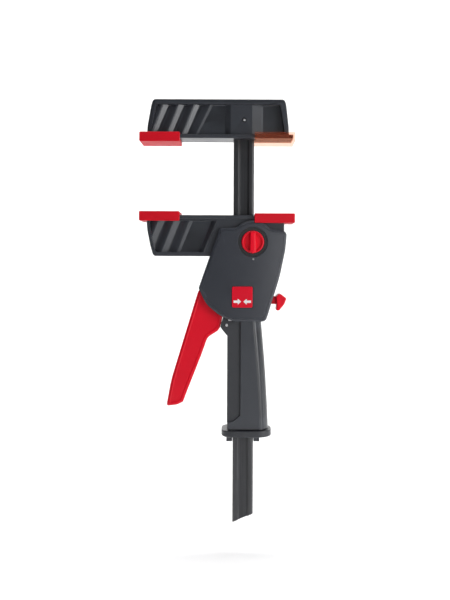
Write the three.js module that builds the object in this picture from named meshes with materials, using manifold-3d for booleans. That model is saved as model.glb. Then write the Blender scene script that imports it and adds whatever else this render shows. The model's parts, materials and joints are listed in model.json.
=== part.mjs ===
// One-handed bar clamp: a fixed jaw on a hollow rail, and a sliding jaw with
// trigger, jam plates, brake, thumb release and a knob that selects its mode.
// Millimetres. +Z runs up the rail, the front faces -Y and the long throat -X.
// Pieces are drawn about the rail's centre line, with z = 0 in the plane of the
// fixed pads. The whole group is then shifted so that the origin lies in the
// middle of the fixed long-side pad's clamping face.
import * as THREE from "three";
import { mergeVertices } from "three/addons/utils/BufferGeometryUtils.js";
import Module from "manifold-3d";

const wasm = await Module();
wasm.setup();

// ---------------------------------------------------------------- dimensions
const GAP = 0.3; // clearance between neighbouring pieces

const RAIL_HALF_WIDTH = 9.6;
const RAIL_HALF_DEPTH = 5.2;
const RAIL_WALL = 1.6;
const RAIL_GROOVE_HALF_WIDTH = 3.4;
const RAIL_GROOVE_DEPTH = 1.0;
const RAIL_TOP = 35;
const RAIL_END_LEFT = -353.7; // the rail's lower end is cut on a slant
const RAIL_END_RIGHT = -345.8;

const JAW_HALF_DEPTH = 12;
const WEB_HALF_DEPTH = 9.6; // jaws are recessed front and rear down to this web
const FLANGE_HALF_DEPTH = 14; // the pads slide over a flange along each jaw
const FLANGE_THICKNESS = 3.3;
const FLANGE_LONG_END = -94.6;
const FLANGE_SHORT_END = 45.2;
const JAW_HEIGHT = 39.8; // fixed jaw, from the pad face to its top edge

const PAD_LENGTH = 37.2;
const PAD_HALF_DEPTH = 17;
const PAD_HEIGHT = 8.8;
const PAD_FACE = 3.1; // pad thickness under the flange
const PAD_END_WALL = 1.5;
const LONG_PAD_INNER = -59.2;
const SHORT_PAD_INNER = 9.9;
const PAD_CENTRE_X = LONG_PAD_INNER - PAD_LENGTH / 2;

const LONG_FACE_Z = -64.2; // clamping faces of the sliding jaw
const SHORT_FACE_Z = -65.9;
const ARM_BOTTOM = -105.6;

const COVER_FRONT = -17.5;
const COVER_BACK = -14.3;
const HOUSING_FRONT = -14;
const HOUSING_REAR = 16.5;
const REAR_WALL_INNER = 14;
const HOUSING_INSET = 0.8; // the cover stands this far proud of the housing
const HOUSING_WALL = 2.6;
const CAVITY_TOP = -84;
const CAVITY_FLOOR = -162;
const HOUSING_BOTTOM = -165.5;

const HANDLE_HALF_DEPTH = 14;
const HANDLE_LEFT = -14.7;
const HANDLE_RIGHT_TOP = 17.3;
const HANDLE_RIGHT_BOTTOM = 24.2;
const HANDLE_BOTTOM = -266;
const HANDLE_WALL = 2.5;
const GRIP_EDGE_X = -2.4;
const GRIP_TOP = -184;
const GRIP_BOTTOM = -257;
const GRIP_SKIN = 1.7;

const KNOB = { x: 8.3, z: -92.3, radius: 10.3, bezel: 13.4 };
const TRIGGER_PIVOT = { x: -15, z: -108, radius: 1.8 };
const TRIGGER_HALF_DEPTH = 11.3;
const TRIGGER_WALL = 2.5;
const THRUST_BAR = { x: -26, z: -113, radius: 2.5 }; // pushes the jam plates down
const RELEASE_PIVOT = { x: 19, z: -153, radius: 1.5 };
const PLATE_HALF_DEPTH = 8.5;
const SPRING_SHELF = { top: -144.5, bottom: -146.5, left: -12.4, right: 10.9 };
const BRAKE_TILT_DEG = 2.5;
const BRAKE_PIVOT = { x: -12.5, z: -149.5 };
const SCREW_PLACES = [[30, -93], [25, -124], [-21, -93]];
const JAW_PIN = { z: 20.9, radius: 1.5, halfLength: 11.3 }; // holds the fixed jaw on the rail
const ARM_RELIEF = { left: -34, right: -29, depth: 0.6 }; // groove where the arm meets the housing
const BADGE = { left: -10.6, right: 8.3, bottom: -152.6, top: -133.3 };
const MARKER = { x: 8.8, z: -108.1, radius: 1.0 };
const NOSE_RIVET = { x: -15.4, z: -169.3, radius: 1.2 };
const CLIP = { left: -14.3, right: -8.9, bottom: -166.8, top: -163.3 };
const SHAFT_RADIUS = 1.5;
const END_CAP = { left: -20, right: 26.3, halfDepth: 17, top: -266.3, bottom: -272.3, tabEnd: -278.3 };
const BRAKE_SPRING = { x: 12.8, y: 6.6, radius: 1.9, wire: 0.8, bottom: -161.7, top: -152.7 };
const DRIVE_SPRING = { radius: 11.7, wire: 1.4, bottom: -144.2, top: -121.6 };
const DRIVE_PLATE = { left: -29, right: 15 };
const BRAKE_PLATE = { left: -12.6, right: 14.9, thickness: 2.2 };

// ------------------------------------------------------------------ materials
function finish(color, roughness, metalness) {
  return { color, roughness, metalness };
}
const DARK_PLASTIC = finish(0x2d2f33, 0.55, 0);
const BLACK_PLASTIC = finish(0x1d1f21, 0.6, 0);
const SOFT_GRIP = finish(0x292a2d, 0.8, 0);
const RED_PLASTIC = finish(0xd2001f, 0.38, 0);
const AMBER_PLASTIC = finish(0xc06a3a, 0.3, 0);
const BLACK_STEEL = finish(0x26282b, 0.4, 0.6);
const BRIGHT_STEEL = finish(0xb8babd, 0.3, 1);
const GREY_PLASTIC = finish(0x959595, 0.5, 0);

const group = new THREE.Group();
group.position.x = -PAD_CENTRE_X;

function addPiece(name, solid, look) {
  const { vertProperties, triVerts } = solid.getMesh();
  const geometry = new THREE.BufferGeometry();
  geometry.setAttribute("position", new THREE.BufferAttribute(vertProperties, 3));
  geometry.setIndex(new THREE.BufferAttribute(triVerts, 1));
  geometry.computeVertexNormals();
  const mesh = new THREE.Mesh(geometry, new THREE.MeshStandardMaterial(look));
  mesh.name = name;
  group.add(mesh);
}

// ---------------------------------------------------------------- solid tools
function toSolid(geometry) {
  geometry.deleteAttribute("normal");
  geometry.deleteAttribute("uv");
  const merged = mergeVertices(geometry);
  const triVerts = Uint32Array.from(merged.index.array);
  const vertProperties = Float32Array.from(merged.attributes.position.array);
  return new wasm.Manifold(new wasm.Mesh({ numProp: 3, vertProperties, triVerts }));
}

function block(x0, x1, y0, y1, z0, z1) {
  const size = [Math.abs(x1 - x0), Math.abs(y1 - y0), Math.abs(z1 - z0)];
  const box = new THREE.BoxGeometry(...size);
  box.translate((x0 + x1) / 2, (y0 + y1) / 2, (z0 + z1) / 2);
  return toSolid(box);
}

// A cylinder along Y, from yFront to yBack.
function barY(x, z, radius, yFront, yBack, sides = 20) {
  const bar = new THREE.CylinderGeometry(radius, radius, yBack - yFront, sides);
  bar.translate(x, (yFront + yBack) / 2, z);
  return toSolid(bar);
}

// A closed outline from [x, z, cut] corners. A corner with a cut is rounded,
// starting that far before it and ending that far after it, or just short of
// halfway to a neighbouring corner that is nearer.
function outline(corners) {
  const shape = new THREE.Shape();
  const points = corners.map(([x, z]) => new THREE.Vector2(x, z));
  const count = corners.length;
  corners.forEach(([, , cut = 0], i) => {
    const corner = points[i];
    const towards = (neighbour) => {
      const leg = neighbour.clone().sub(corner);
      return leg.setLength(Math.min(cut, 0.48 * leg.length())).add(corner);
    };
    const start = towards(points[(i + count - 1) % count]);
    if (i === 0) shape.moveTo(start.x, start.y);
    else shape.lineTo(start.x, start.y);
    if (cut > 0) {
      const end = towards(points[(i + 1) % count]);
      shape.quadraticCurveTo(corner.x, corner.y, end.x, end.y);
    }
  });
  return shape;
}

// Extrudes an outline in the XZ plane from yFront to yBack.
function plate(shape, yFront, yBack, curveSegments = 3) {
  const depth = yBack - yFront;
  const options = { depth, bevelEnabled: false, curveSegments };
  const geometry = new THREE.ExtrudeGeometry(shape, options);
  geometry.rotateX(Math.PI / 2);
  geometry.translate(0, yBack, 0);
  return toSolid(geometry);
}

// Extrudes an outline in the XY plane from zLow to zHigh.
function column(shape, zLow, zHigh, curveSegments = 3) {
  const options = { depth: zHigh - zLow, bevelEnabled: false, curveSegments };
  const geometry = new THREE.ExtrudeGeometry(shape, options);
  geometry.translate(0, 0, zLow);
  return toSolid(geometry);
}

function cutAll(solid, ...cutters) {
  return cutters.reduce((rest, cutter) => rest.subtract(cutter), solid);
}

function joinAll(solid, ...others) {
  return others.reduce((whole, other) => whole.add(other), solid);
}

// Moves each point of a clockwise or anticlockwise outline inwards.
function insetPoints(points, distance) {
  const turn = THREE.ShapeUtils.isClockWise(points) ? -1 : 1;
  return points.map((point, i) => {
    const previous = points[(i + points.length - 1) % points.length];
    const next = points[(i + 1) % points.length];
    const a = point.clone().sub(previous).normalize();
    const b = next.clone().sub(point).normalize();
    const normal = new THREE.Vector2(-a.y - b.y, a.x + b.x).multiplyScalar(turn);
    const stretch = distance / Math.max(0.5, 1 + a.dot(b));
    return point.clone().add(normal.multiplyScalar(stretch));
  });
}

// Wears an upright plate back from its outline: the overlap of eight shifted copies.
function erode(solid, distance) {
  const shifts = [0, 1, 2, 3, 4, 5, 6, 7].map((n) => (n * Math.PI) / 4);
  const copies = shifts.map((angle) =>
    solid.translate([distance * Math.cos(angle), 0, distance * Math.sin(angle)]));
  return copies.reduce((rest, copy) => rest.intersect(copy), solid);
}

// A rectangular sleeve hole round the rail.
function railHole(clearance, zLow, zHigh) {
  const x = RAIL_HALF_WIDTH + clearance;
  const y = RAIL_HALF_DEPTH + clearance;
  return block(-x, x, -y, y, zLow, zHigh);
}

class Helix extends THREE.Curve {
  constructor(x, y, radius, zLow, zHigh, turns) {
    super();
    Object.assign(this, { x, y, radius, zLow, zHigh, turns });
  }

  getPoint(t, target = new THREE.Vector3()) {
    const angle = 2 * Math.PI * this.turns * t;
    const z = this.zLow + (this.zHigh - this.zLow) * t;
    const x = this.x + this.radius * Math.cos(angle);
    return target.set(x, this.y + this.radius * Math.sin(angle), z);
  }
}

function coilSpring(x, y, radius, wire, zLow, zHigh, turns, stepsPerTurn) {
  const half = wire / 2;
  const path = new Helix(x, y, radius, zLow + half, zHigh - half, turns);
  const section = new THREE.Shape();
  section.absarc(0, 0, half, 0, 2 * Math.PI);
  const steps = Math.round(turns * stepsPerTurn);
  const options = { steps, extrudePath: path, curveSegments: 3 };
  return toSolid(new THREE.ExtrudeGeometry(section, options));
}

// ----------------------------------------------------------------------- rail
function railSection() {
  const w = RAIL_HALF_WIDTH;
  const d = RAIL_HALF_DEPTH;
  const g = RAIL_GROOVE_HALF_WIDTH;
  const floor = d - RAIL_GROOVE_DEPTH;
  const front = [[-w, -d, 1.4], [-g - 1.2, -d], [-g, -floor], [g, -floor], [g + 1.2, -d], [w, -d, 1.4]];
  const rear = front.map(([x, y, cut]) => [-x, -y, cut]);
  const shape = outline([...front, ...rear]);
  const holeX = w - RAIL_WALL;
  const holeY = floor - RAIL_WALL;
  const hole = [[-holeX, -holeY, 0.8], [holeX, -holeY, 0.8], [holeX, holeY, 0.8], [-holeX, holeY, 0.8]];
  shape.holes.push(outline(hole));
  return shape;
}

function jawPin(clearance) {
  const length = JAW_PIN.halfLength + 10 * clearance;
  return barY(0, JAW_PIN.z, JAW_PIN.radius + clearance, -length, length, 12);
}

function makeRail() {
  const w = RAIL_HALF_WIDTH;
  const slope = (RAIL_END_RIGHT - RAIL_END_LEFT) / (2 * w);
  const reach = w + 2;
  const low = RAIL_END_LEFT - 5;
  const waste = outline([
    [-reach, RAIL_END_LEFT - 2 * slope], [reach, RAIL_END_RIGHT + 2 * slope], [reach, low], [-reach, low],
  ]);
  const bar = column(railSection(), RAIL_END_LEFT - 1, RAIL_TOP);
  return cutAll(bar, plate(waste, -8, 8), jawPin(GAP));
}

// ----------------------------------------------------------------------- pads
// A pad is a C-shaped channel. Levels count from its clamping face into the jaw.
function makePad(innerX, faceZ, towardsJaw, jawSideX) {
  const away = Math.sign(innerX); // -1 on the long side, 1 on the short side
  const outerX = innerX + away * PAD_LENGTH;
  const level = (depth) => faceZ + towardsJaw * depth;
  const channelEnd = outerX - away * PAD_END_WALL;
  const lipStart = PAD_FACE + FLANGE_THICKNESS + 2 * GAP;
  const openEnd = innerX - away;
  const channelY = FLANGE_HALF_DEPTH + GAP;
  const slotY = JAW_HALF_DEPTH + GAP;
  const slotEnd = jawSideX + away * GAP;
  return cutAll(
    block(innerX, outerX, -PAD_HALF_DEPTH, PAD_HALF_DEPTH, level(0), level(PAD_HEIGHT)),
    block(openEnd, channelEnd, -channelY, channelY, level(PAD_FACE), level(lipStart)),
    block(openEnd, slotEnd, -slotY, slotY, level(PAD_FACE), level(PAD_HEIGHT + 1)),
  );
}

// ------------------------------------------------------------------ fixed jaw
const FIXED_FLANGE_Z = PAD_FACE + GAP;

// A slanted rib lies in the recess: [left, right] at its top and at its bottom.
function slantedRib(topLeft, topRight, bottomLeft, bottomRight, zTop, zBottom) {
  return outline([[bottomLeft, zBottom], [bottomRight, zBottom], [topRight, zTop], [topLeft, zTop]]);
}

function recessPair(shape) {
  const beyond = JAW_HALF_DEPTH + 1;
  return plate(shape, -beyond, -WEB_HALF_DEPTH).add(plate(shape, WEB_HALF_DEPTH, beyond));
}

function ribPair(shape) {
  return plate(shape, -JAW_HALF_DEPTH + 0.5, JAW_HALF_DEPTH - 0.5);
}

function makeFixedJaw() {
  const bottom = FIXED_FLANGE_Z;
  const body = outline([
    [-89.6, bottom], [-89.6, 12, 6], [-85.2, 37, 8], [-84.4, JAW_HEIGHT, 2.4],
    [37.6, JAW_HEIGHT, 2.4], [38.6, 36, 6], [41.4, 12, 6], [41.4, bottom],
  ]);
  const recess = outline([
    [-86.2, 7.4, 1], [-85.9, 12, 4], [-80.8, 35.2, 1], [33.8, 35.2, 1], [37.2, 12, 4], [37.6, 7.4, 1],
  ]);
  const recessArea = plate(recess, -JAW_HALF_DEPTH, JAW_HALF_DEPTH);
  const ribs = [0, 1, 2].map((n) => {
    const shift = 14.5 * n;
    return ribPair(slantedRib(-75 + shift, -69.5 + shift, -85.4 + shift, -80.6 + shift, 36, 6));
  });
  ribs.push(ribPair(slantedRib(-31.2, -28.4, -45.4, -43, 36, 6)));
  const bossY = 11.2;
  const boss = outline([
    [-17.5, -WEB_HALF_DEPTH], [-12.6, -bossY], [8.2, -bossY], [17.6, -WEB_HALF_DEPTH],
    [17.6, WEB_HALF_DEPTH], [8.2, bossY], [-12.6, bossY], [-17.5, WEB_HALF_DEPTH],
  ]);
  const fillings = joinAll(column(boss, 6, 36), ...ribs).intersect(recessArea);
  const flangeTop = bottom + FLANGE_THICKNESS;
  const flangeY = FLANGE_HALF_DEPTH;
  return cutAll(
    joinAll(
      plate(body, -JAW_HALF_DEPTH, JAW_HALF_DEPTH).subtract(recessPair(recess)),
      fillings,
      block(FLANGE_LONG_END, FLANGE_SHORT_END, -flangeY, flangeY, bottom, flangeTop),
    ),
    railHole(GAP, bottom - 1, RAIL_TOP + GAP),
    jawPin(GAP),
  );
}

// -------------------------------------------------------------------- housing
// Front view of the cover: round the knob its top edge rises in an arc.
function coverPoints() {
  const shape = new THREE.Shape();
  shape.moveTo(-19.4, -79.3);
  shape.lineTo(-9.5, -79.2);
  shape.quadraticCurveTo(-7.2, -79.2, -5.4, -78);
  shape.absarc(KNOB.x, KNOB.z, 19.8, 0.74 * Math.PI, 0.25 * Math.PI, true);
  shape.lineTo(24.2, -80.2);
  shape.lineTo(36.2, -82.2);
  shape.quadraticCurveTo(39.6, -82.6, 39.5, -86.6);
  shape.quadraticCurveTo(38.2, -104, 31.3, -132.7);
  shape.lineTo(22.2, -160);
  shape.quadraticCurveTo(20.4, -165.5, 16.6, HOUSING_BOTTOM);
  shape.lineTo(-8.6, HOUSING_BOTTOM);
  shape.quadraticCurveTo(-29, -158.6, -37, -146);
  shape.quadraticCurveTo(-39.8, -141, -41.4, -135.2);
  shape.lineTo(-30.5, -103.5);
  shape.lineTo(-22.4, -81.4);
  shape.quadraticCurveTo(-21.4, -79.3, -19.4, -79.3);
  const points = shape.getPoints(6);
  return points.filter((point, i) => i > 0 && point.distanceTo(points[i - 1]) > 0.2);
}
const COVER_POINTS = coverPoints();

// Clears the path of the short-side pad, which slides on over the housing.
function shortPadPath() {
  const top = SHORT_FACE_Z - PAD_HEIGHT - GAP;
  return block(SHORT_PAD_INNER - GAP, 60, -30, 30, top, top + 20);
}

function coverShape(inset) {
  return new THREE.Shape(insetPoints(COVER_POINTS, inset));
}

function handleSection(skin) {
  const left = HANDLE_LEFT + skin;
  const right = HANDLE_RIGHT_BOTTOM - skin;
  const y = HANDLE_HALF_DEPTH - skin;
  return outline([[left, -y, 5], [right, -y, 8], [right, y, 8], [left, y, 5]]);
}

// The handle widens downwards on its palm side: each point keeps its share of
// the width between the straight finger side and the sloping palm side.
function handleBlank(skin, zLow, zHigh) {
  const options = { depth: zHigh - zLow, steps: 2, bevelEnabled: false, curveSegments: 4 };
  const geometry = new THREE.ExtrudeGeometry(handleSection(skin), options);
  geometry.translate(0, 0, zLow);
  const position = geometry.attributes.position;
  const fullWidth = HANDLE_RIGHT_BOTTOM - HANDLE_LEFT;
  for (let i = 0; i < position.count; i += 1) {
    const share = (position.getX(i) - HANDLE_LEFT) / fullWidth;
    const t = (position.getZ(i) - HANDLE_BOTTOM) / (HOUSING_BOTTOM - HANDLE_BOTTOM);
    const right = HANDLE_RIGHT_BOTTOM + t * (HANDLE_RIGHT_TOP - HANDLE_RIGHT_BOTTOM);
    position.setX(i, HANDLE_LEFT + share * (right - HANDLE_LEFT));
  }
  return toSolid(geometry);
}

function makeArm() {
  const long = LONG_FACE_Z - PAD_FACE - GAP;
  const short = SHORT_FACE_Z - PAD_FACE - GAP;
  const step = RAIL_HALF_WIDTH;
  const body = outline([
    [-89.9, long], [step, long], [step, short], [37.6, short, 0.6], [37.6, -100], [0, ARM_BOTTOM],
    [-84.2, ARM_BOTTOM, 3], [-88.4, -90, 8], [-89.9, -74, 6],
  ]);
  const recess = outline([
    [-87.2, -72.6, 1], [-24.4, -72.6, 1], [-36, -101.8, 1], [-81.8, -101.8, 2], [-85.4, -90, 6],
  ]);
  const recessArea = plate(recess, -JAW_HALF_DEPTH, JAW_HALF_DEPTH);
  const ribs = [0, 1].map((n) => {
    const shift = 14.3 * n;
    return ribPair(slantedRib(-80 + shift, -73.5 + shift, -90 + shift, -85.2 + shift, -72, -103));
  });
  ribs.push(ribPair(slantedRib(-50.6, -47, -61, -58.6, -72, -103)));
  const fillings = joinAll(...ribs).intersect(recessArea);
  const y = FLANGE_HALF_DEPTH;
  const { left, right, depth } = ARM_RELIEF;
  const relief = block(left, right, -y, y, ARM_BOTTOM - 1, ARM_BOTTOM + depth);
  return joinAll(
    cutAll(plate(body, -JAW_HALF_DEPTH, JAW_HALF_DEPTH), recessPair(recess), relief),
    fillings,
    block(FLANGE_LONG_END, step, -y, y, long, long - FLANGE_THICKNESS),
    block(step - 0.1, FLANGE_SHORT_END, -y, y, short, short - FLANGE_THICKNESS),
  );
}

const NOSE_OUTLINE = outline([
  [-8, -160], [-18.4, -160], [-21.3, -170.6, 1.6], [-19.6, -173.4, 1], [-13.9, -180], [-8, -184],
]);

// The trigger's way in: through the housing's lower left edge, its floor and
// the hollow nose at the top of the handle.
const TRIGGER_WAY = outline([
  [-46, -129], [-34, -129], [-18, -150], [-5, -156], [-5, -182.5], [-24, -182.5], [-24, -160], [-46, -144],
]);

function makeJawBody() {
  const insideY = TRIGGER_HALF_DEPTH + 0.4;
  const walls = plate(coverShape(HOUSING_INSET), HOUSING_FRONT, HOUSING_REAR).subtract(shortPadPath());
  const cavityReach = block(-60, 60, -30, REAR_WALL_INNER, CAVITY_FLOOR, CAVITY_TOP);
  const cavity = erode(walls.scale([1, 2, 1]), HOUSING_WALL).intersect(cavityReach);
  const handle = handleBlank(0, HANDLE_BOTTOM, HOUSING_BOTTOM + 2);
  const handleHollow = handleBlank(HANDLE_WALL + GRIP_SKIN, HANDLE_BOTTOM - 1, CAVITY_FLOOR + 1);
  const nose = plate(NOSE_OUTLINE, -HANDLE_HALF_DEPTH, HANDLE_HALF_DEPTH);
  const { left, right, top, bottom } = SPRING_SHELF;
  const shelf = block(left, right, HOUSING_FRONT, REAR_WALL_INNER + 1, bottom, top);
  const fulcrum = block(left, left + 1.9, -PLATE_HALF_DEPTH, PLATE_HALF_DEPTH, bottom - 1.7, bottom + 0.5);
  const rackGuide = block(15.8, 18, -13, REAR_WALL_INNER + 1, -110, CAVITY_TOP + 1);
  const pillars = SCREW_PLACES.map(([x, z]) => barY(x, z, 4, HOUSING_FRONT, REAR_WALL_INNER + 1));
  const screwHoles = SCREW_PLACES.map(([x, z]) =>
    barY(x, z, 1.8, -20, 20, 12).add(barY(x, z, 3.3, 14.4, 20, 16)));
  const pinHoles = [TRIGGER_PIVOT, RELEASE_PIVOT].map(({ x, z, radius }) =>
    barY(x, z, radius + GAP, 10, 15.8, 12));
  const shell = cutAll(
    joinAll(makeArm(), walls, handle, nose),
    cavity,
    handleHollow,
    plate(TRIGGER_WAY, -insideY, insideY),
    block(18, 34, -4.2, 4.2, -157.5, -140.6),
    block(-12, 12, -8, 8, CAVITY_TOP - 1, -72),
    gripBlank(GAP),
  );
  return cutAll(
    joinAll(shell, shelf, fulcrum, rackGuide, ...pillars),
    railHole(GAP, -280, -60),
    ...screwHoles,
    ...pinHoles,
    barY(NOSE_RIVET.x, NOSE_RIVET.z, NOSE_RIVET.radius + GAP, -20, 20, 10),
    block(CLIP.left - GAP, CLIP.right + GAP, -15, -12.4, CLIP.bottom - GAP, CLIP.top + GAP),
  );
}

// The soft insert is a skin round the finger side of the handle.
function gripBlank(extra) {
  const reach = block(
    -40, GRIP_EDGE_X + extra, -30, 30, GRIP_BOTTOM - extra, GRIP_TOP + extra,
  );
  const outer = handleBlank(-1, HANDLE_BOTTOM, HOUSING_BOTTOM);
  const core = handleBlank(GRIP_SKIN + extra, HANDLE_BOTTOM - 1, HOUSING_BOTTOM + 1);
  return outer.intersect(reach).subtract(core);
}

function makeGrip() {
  return gripBlank(0).intersect(handleBlank(0, HANDLE_BOTTOM, HOUSING_BOTTOM));
}

function makeCover() {
  const pocket = erode(plate(coverShape(0), COVER_FRONT + 2.4, COVER_BACK + 1), 2.6);
  const bosses = SCREW_PLACES.map(([x, z]) => barY(x, z, 3.6, COVER_FRONT + 1, COVER_BACK));
  const screwHoles = SCREW_PLACES.map(([x, z]) => barY(x, z, 1.8, -16.2, 0, 12));
  const { left, right, bottom, top } = BADGE;
  const badgeRecess = block(left - GAP, right + GAP, -20, -17.1, bottom - GAP, top + GAP);
  return cutAll(
    joinAll(plate(coverShape(0), COVER_FRONT, COVER_BACK).subtract(pocket), ...bosses),
    barY(KNOB.x, KNOB.z, KNOB.bezel + GAP, -20, -16.5, 40),
    barY(KNOB.x, KNOB.z, 4.8, -20, 0, 24),
    barY(MARKER.x, MARKER.z, MARKER.radius + GAP, -20, -16.8, 12),
    badgeRecess,
    shortPadPath(),
    ...screwHoles,
  );
}

function makeEndCap() {
  const { left, right, halfDepth: y, top, bottom, tabEnd } = END_CAP;
  const flange = outline([[left, -y, 9], [right, -y, 10], [right, y, 10], [left, y, 9]]);
  const tabs = [-1, 1].map((side) => {
    const inner = side * (RAIL_HALF_WIDTH + GAP);
    return block(inner, inner + side * 5.5, -5, 5, tabEnd, bottom + 1);
  });
  return cutAll(joinAll(column(flange, bottom, top, 5), ...tabs), railHole(GAP, tabEnd - 1, top + 1));
}

// -------------------------------------------------------------------- trigger
function makeTrigger() {
  const shape = outline([
    [-71, -244.3, 1.5], [-66.7, -220.2, 8], [-42.3, -139, 1], [-40.6, -136.2, 1], [-36.5, -133.4, 2],
    [-30.4, -116, 3], [-27, -108.6, 2.5], [-15, -102.9, 4], [-10.4, -106, 3], [-11, -113, 3],
    [-22.4, -140, 6], [-21.4, -152, 5], [-19.3, -162.6, 3], [-22, -173.6, 5], [-33, -180.6, 4],
    [-39, -197.5], [-50.7, -227.5], [-55.6, -240.6, 3], [-60, -243.1],
  ]);
  const hollow = outline([
    [-67.6, -239.4, 1], [-64.1, -220.4, 8], [-39.8, -139.6], [-40, -125], [-34, -95], [0, -95],
    [0, -170], [-20, -185], [-45, -237], [-60, -239.4],
  ]);
  const innerY = TRIGGER_HALF_DEPTH - TRIGGER_WALL;
  const { x, z, radius } = THRUST_BAR;
  const cheeks = plate(shape, -TRIGGER_HALF_DEPTH, TRIGGER_HALF_DEPTH);
  return cutAll(
    cheeks.subtract(plate(hollow, -innerY, innerY)),
    barY(TRIGGER_PIVOT.x, TRIGGER_PIVOT.z, TRIGGER_PIVOT.radius + GAP, -20, 20, 16),
  ).add(barY(x, z, radius, -TRIGGER_HALF_DEPTH + 0.5, TRIGGER_HALF_DEPTH - 0.5, 16));
}

// ----------------------------------------------------- drive and brake plates
function jamPlate(left, right, zLow, thickness) {
  const y = PLATE_HALF_DEPTH;
  const shape = outline([[left, -y, 2], [right, -y, 2], [right, y, 2], [left, y, 2]]);
  const zHigh = zLow + thickness;
  return column(shape, zLow, zHigh).subtract(railHole(0.35, zLow - 1, zHigh + 1));
}

// Brake plates lie tilted on the rail at rest, with their right end high.
function brakePlate(top) {
  const { left, right, thickness } = BRAKE_PLATE;
  const level = jamPlate(left, right, top - thickness, thickness);
  const home = level.translate([-BRAKE_PIVOT.x, 0, -BRAKE_PIVOT.z]);
  return home.rotate([0, -BRAKE_TILT_DEG, 0]).translate([BRAKE_PIVOT.x, 0, BRAKE_PIVOT.z]);
}

function makeSpringSeat() {
  const ring = new THREE.Shape();
  ring.absarc(0, 0, 13, 0, 2 * Math.PI);
  return column(ring, -121.3, -120.2, 12).subtract(railHole(0.35, -130, -110));
}

function makeReleaseLever() {
  const { x, z, radius } = RELEASE_PIVOT;
  const arm = outline([
    [12.8, -146.8], [12.8, -144.4, 0.8], [21, -143.6], [32, -142.6], [34, -150.4], [22.4, -149.6],
    [21.6, -154.8, 1.5], [16.8, -155.6, 1.5], [16.1, -146.8],
  ]);
  const head = outline([
    [30.1, -142.8, 0.5], [32.6, -140.4, 1], [34.8, -140.4, 1], [40.6, -144.9, 1.4], [38, -150.3],
    [33.6, -155.9, 1.2], [30.4, -155.9, 1.2], [30.9, -150],
  ]);
  return cutAll(
    joinAll(plate(arm, -3.8, 3.8), plate(head, -8, 8)),
    barY(x, z, radius + GAP, -10, 10, 14),
  );
}

// ----------------------------------------------------------- mode selector
function makeKnob() {
  const { x, z, radius } = KNOB;
  const ridge = outline([
    [x - 2.8, z + radius - 0.6, 0.8], [x + 2.8, z + radius - 0.6, 0.8],
    [x + 2.8, z - radius + 0.6], [x, z - radius - 0.6, 0.8], [x - 2.8, z - radius + 0.6],
  ]);
  return cutAll(
    joinAll(
      barY(x, z, radius, -19.2, -16.9, 36),
      plate(ridge, -21.4, -18),
      barY(x, z, 4.4, -18, -14.6, 20),
    ),
    barY(x, z, SHAFT_RADIUS + GAP, -18.5, 0, 12),
  );
}

function makeBezel() {
  const { x, z, radius, bezel } = KNOB;
  return barY(x, z, bezel, -17.3, -16.8, 40).subtract(barY(x, z, radius + 0.5, -20, 0, 40));
}

const PINION = { teeth: 10, module: 0.6, root: 2.4, outer: 3.5 };

function makePinion() {
  const shape = new THREE.Shape();
  const { teeth, root, outer } = PINION;
  const step = (2 * Math.PI) / teeth;
  const corners = [[root, -0.34], [outer, -0.14], [outer, 0.14], [root, 0.34]];
  for (let n = 0; n < teeth; n += 1) {
    corners.forEach(([r, offset], i) => {
      const angle = (n + 0.5 + offset) * step;
      const point = [KNOB.x + r * Math.cos(angle), KNOB.z + r * Math.sin(angle)];
      if (n + i === 0) shape.moveTo(...point);
      else shape.lineTo(...point);
    });
  }
  shape.closePath();
  const bore = barY(KNOB.x, KNOB.z, SHAFT_RADIUS + GAP, -20, 0, 12);
  return plate(shape, -12.5, -8.5).subtract(bore);
}

function makeRack() {
  const pitch = Math.PI * PINION.module;
  const pitchX = KNOB.x + 3.25;
  const back = pitchX + 4;
  const root = pitchX + 0.9;
  const tip = pitchX - 0.35;
  const half = pitch / 2;
  const shape = new THREE.Shape();
  shape.moveTo(back, -104);
  shape.lineTo(back, -84.6);
  shape.lineTo(root, -84.6);
  for (let n = 4; n >= -4; n -= 1) {
    const centre = KNOB.z + n * pitch;
    shape.lineTo(root, centre + 0.3 * half + 0.2);
    shape.lineTo(tip, centre + 0.1);
    shape.lineTo(tip, centre - 0.1);
    shape.lineTo(root, centre - 0.3 * half - 0.2);
  }
  shape.lineTo(root, -104);
  shape.closePath();
  return plate(shape, -12.3, -8.7);
}

// ---------------------------------------------------------------- small parts
function makeScrew([x, z]) {
  return barY(x, z, 1.5, -15.8, 15, 12).add(barY(x, z, 3, 14.7, 16.3, 18))
    .subtract(barY(x, z, 1.1, 15.4, 17, 6));
}

function makePin({ x, z, radius }, sides) {
  return barY(x, z, radius, -13.8, 15.5, sides);
}

function makeRivet(yFront, yBack) {
  return barY(NOSE_RIVET.x, NOSE_RIVET.z, NOSE_RIVET.radius, yFront, yBack, 10);
}

function makeBrakeSpring(side) {
  const { x, y, radius, wire, bottom, top } = BRAKE_SPRING;
  return coilSpring(x, side * y, radius, wire, bottom, top, 4, 10);
}

function makeDriveSpring() {
  const { radius, wire, bottom, top } = DRIVE_SPRING;
  return coilSpring(0, 0, radius, wire, bottom, top, 5, 16);
}

function makeUpperGuide() {
  return block(-11.7, 11.7, -7.7, 7.7, -82, -72.3).subtract(railHole(GAP, -83, -72));
}

function makeLowerGuide() {
  const blank = handleBlank(HANDLE_WALL + GRIP_SKIN + GAP, -263, -253);
  return blank.subtract(railHole(GAP, -264, -252));
}

// ------------------------------------------------------------------- assembly
addPiece("rail", makeRail(), BLACK_STEEL);
addPiece("fixed_jaw", makeFixedJaw(), DARK_PLASTIC);
addPiece("fixed_jaw_pin", jawPin(0), BRIGHT_STEEL);
addPiece("fixed_long_pad", makePad(LONG_PAD_INNER, 0, 1, -89.6), RED_PLASTIC);
addPiece("fixed_short_pad", makePad(SHORT_PAD_INNER, 0, 1, 41.4), AMBER_PLASTIC);

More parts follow.
